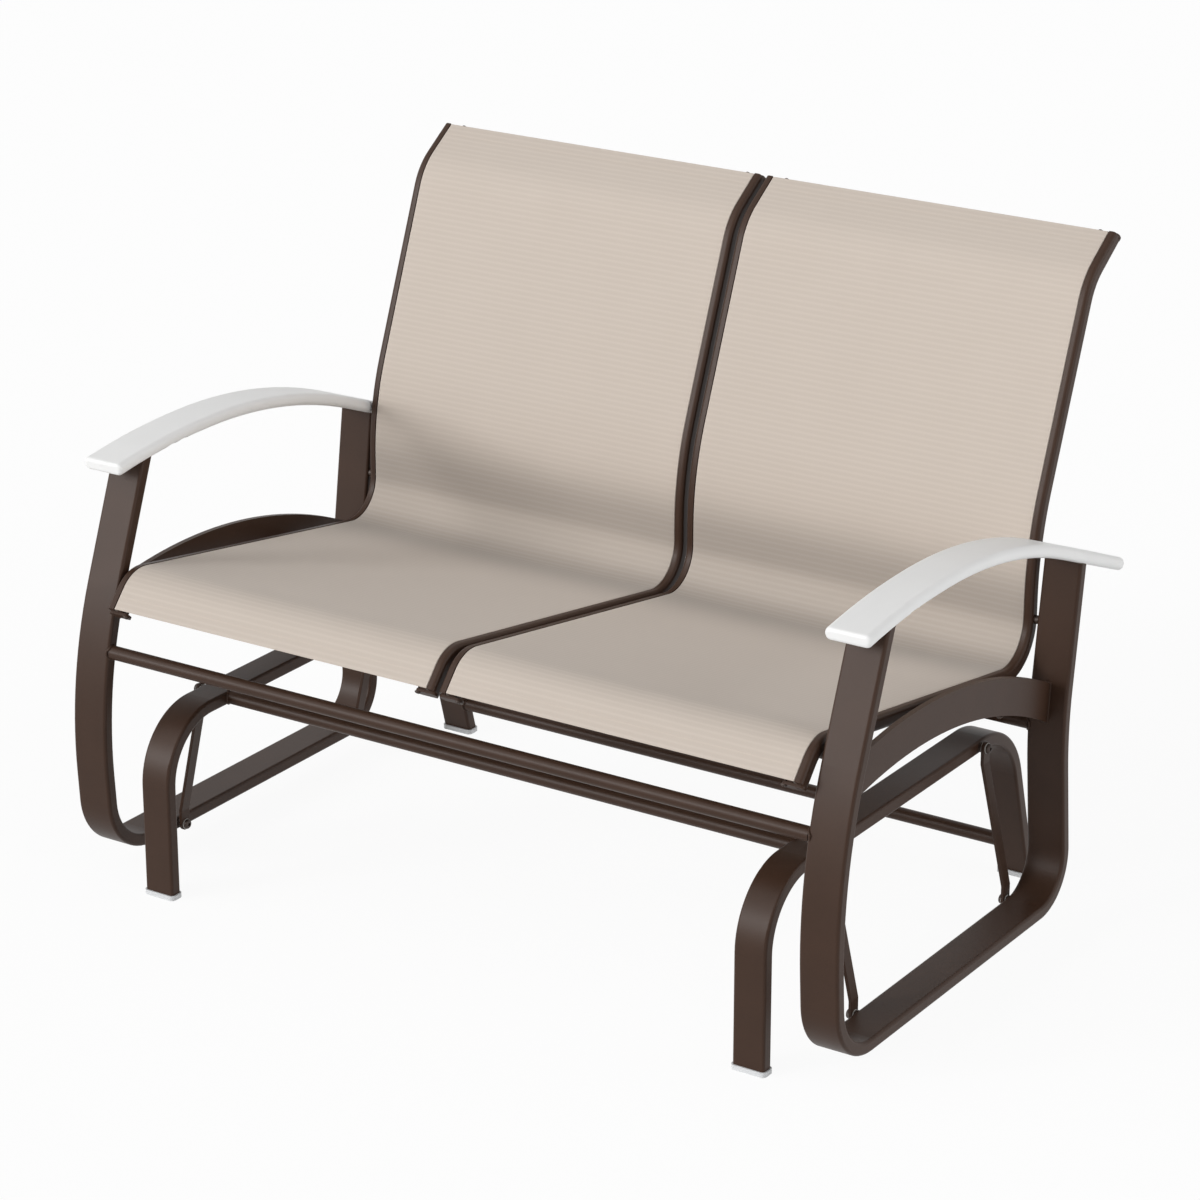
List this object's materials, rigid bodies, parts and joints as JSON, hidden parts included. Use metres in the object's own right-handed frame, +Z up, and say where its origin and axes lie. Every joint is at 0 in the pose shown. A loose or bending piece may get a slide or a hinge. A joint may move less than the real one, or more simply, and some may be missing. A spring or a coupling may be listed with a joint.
{
  "type": "glider bench",
  "caption": "Free-standing porch glider bench: a tubular seat frame with stretched sling seats hangs on swing links from a low standing base and glides fore and aft.",
  "frame": {"origin": "on the floor, under the middle of the overall box", "axes": "+Z up, the bench faces -Y, +X across the bench towards the right as seen from the front"},
  "size_m": [1.25, 0.8442, 0.9386],
  "materials": {
    "frame_paint": "satin dark brown powder coat with a fine texture",
    "armrest": "fine-grained off-white moulded plastic",
    "foot_glide": "pale grey nylon",
    "bush": "natural nylon",
    "sling_fabric": "woven beige sling fabric with fine ribs across the seat",
    "spline_cord": "smooth cord",
    "dark_fastener": "dark brown coated steel"
  },
  "bodies": {
    "base": {"base_front_tube": "frame_paint", "base_rear_tube": "frame_paint", "base_side_left": "frame_paint", "base_side_right": "frame_paint", "foot_glide_front_left": "foot_glide", "foot_glide_front_right": "foot_glide", "foot_glide_rear_left": "foot_glide", "foot_glide_rear_right": "foot_glide", "upper_pivot_bolts": "dark_fastener", "upper_pivot_inserts": "dark_fastener", "upper_pivot_spacers": "dark_fastener"},
    "link_front_left": {"swing_link_front_left": "frame_paint", "link_bushes_front_left": "bush"},
    "link_front_right": {"swing_link_front_right": "frame_paint", "link_bushes_front_right": "bush"},
    "link_rear_left": {"swing_link_rear_left": "frame_paint", "link_bushes_rear_left": "bush"},
    "link_rear_right": {"swing_link_rear_right": "frame_paint", "link_bushes_rear_right": "bush"},
    "glider": {"arched_seat_rail_left": "frame_paint", "arched_seat_rail_right": "frame_paint", "arm_screws": "dark_fastener", "armrest_left": "armrest", "armrest_right": "armrest", "back_rail_bolts": "dark_fastener", "back_rail_inserts": "dark_fastener", "back_rail_spacers": "dark_fastener", "front_rail_end_plates": "frame_paint", "front_spreader_left": "frame_paint", "front_spreader_right": "frame_paint", "glider_front_tube": "frame_paint", "glider_rear_tube": "frame_paint", "lower_pivot_bolts": "dark_fastener", "lower_pivot_inserts": "dark_fastener", "lower_pivot_spacers": "dark_fastener", "rail_screws": "dark_fastener", "seat_bar_front": "frame_paint", "seat_bar_rear": "frame_paint", "side_frame_left": "frame_paint", "side_frame_right": "frame_paint", "sling_left": "sling_fabric", "sling_rail_inner_left": "frame_paint", "sling_rail_inner_right": "frame_paint", "sling_rail_outer_left": "frame_paint", "sling_rail_outer_right": "frame_paint", "sling_right": "sling_fabric", "sling_splines": "spline_cord", "spreader_bolts": "dark_fastener", "top_rail_end_plates": "frame_paint", "top_spreader_left": "frame_paint", "top_spreader_right": "frame_paint"}
  },
  "joints": [
    {"name": "link_front_left_swing", "type": "hinge", "parent": "base", "child": "link_front_left", "pos_m": [-0.517, -0.264, 0.2605], "axis": [1, 0, 0], "range_deg": [-20, 20]},
    {"name": "link_front_right_swing", "type": "hinge", "parent": "base", "child": "link_front_right", "pos_m": [0.517, -0.264, 0.2605], "axis": [1, 0, 0], "range_deg": [-20, 20]},
    {"name": "link_rear_left_swing", "type": "hinge", "parent": "base", "child": "link_rear_left", "pos_m": [-0.517, 0.157, 0.2605], "axis": [1, 0, 0], "range_deg": [-20, 20]},
    {"name": "link_rear_right_swing", "type": "hinge", "parent": "base", "child": "link_rear_right", "pos_m": [0.517, 0.157, 0.2605], "axis": [1, 0, 0], "range_deg": [-20, 20]},
    {"name": "glide", "type": "hinge", "parent": "link_front_left", "child": "glider", "pos_m": [-0.556, -0.264, 0.042], "axis": [1, 0, 0], "range_deg": [-20, 20]}
  ],
  "couplings": [
    {"joint": "link_front_left_swing", "follows": "glide", "ratio": -1},
    {"joint": "link_front_right_swing", "follows": "glide", "ratio": -1},
    {"joint": "link_rear_left_swing", "follows": "glide", "ratio": -1},
    {"joint": "link_rear_right_swing", "follows": "glide", "ratio": -1}
  ]
}
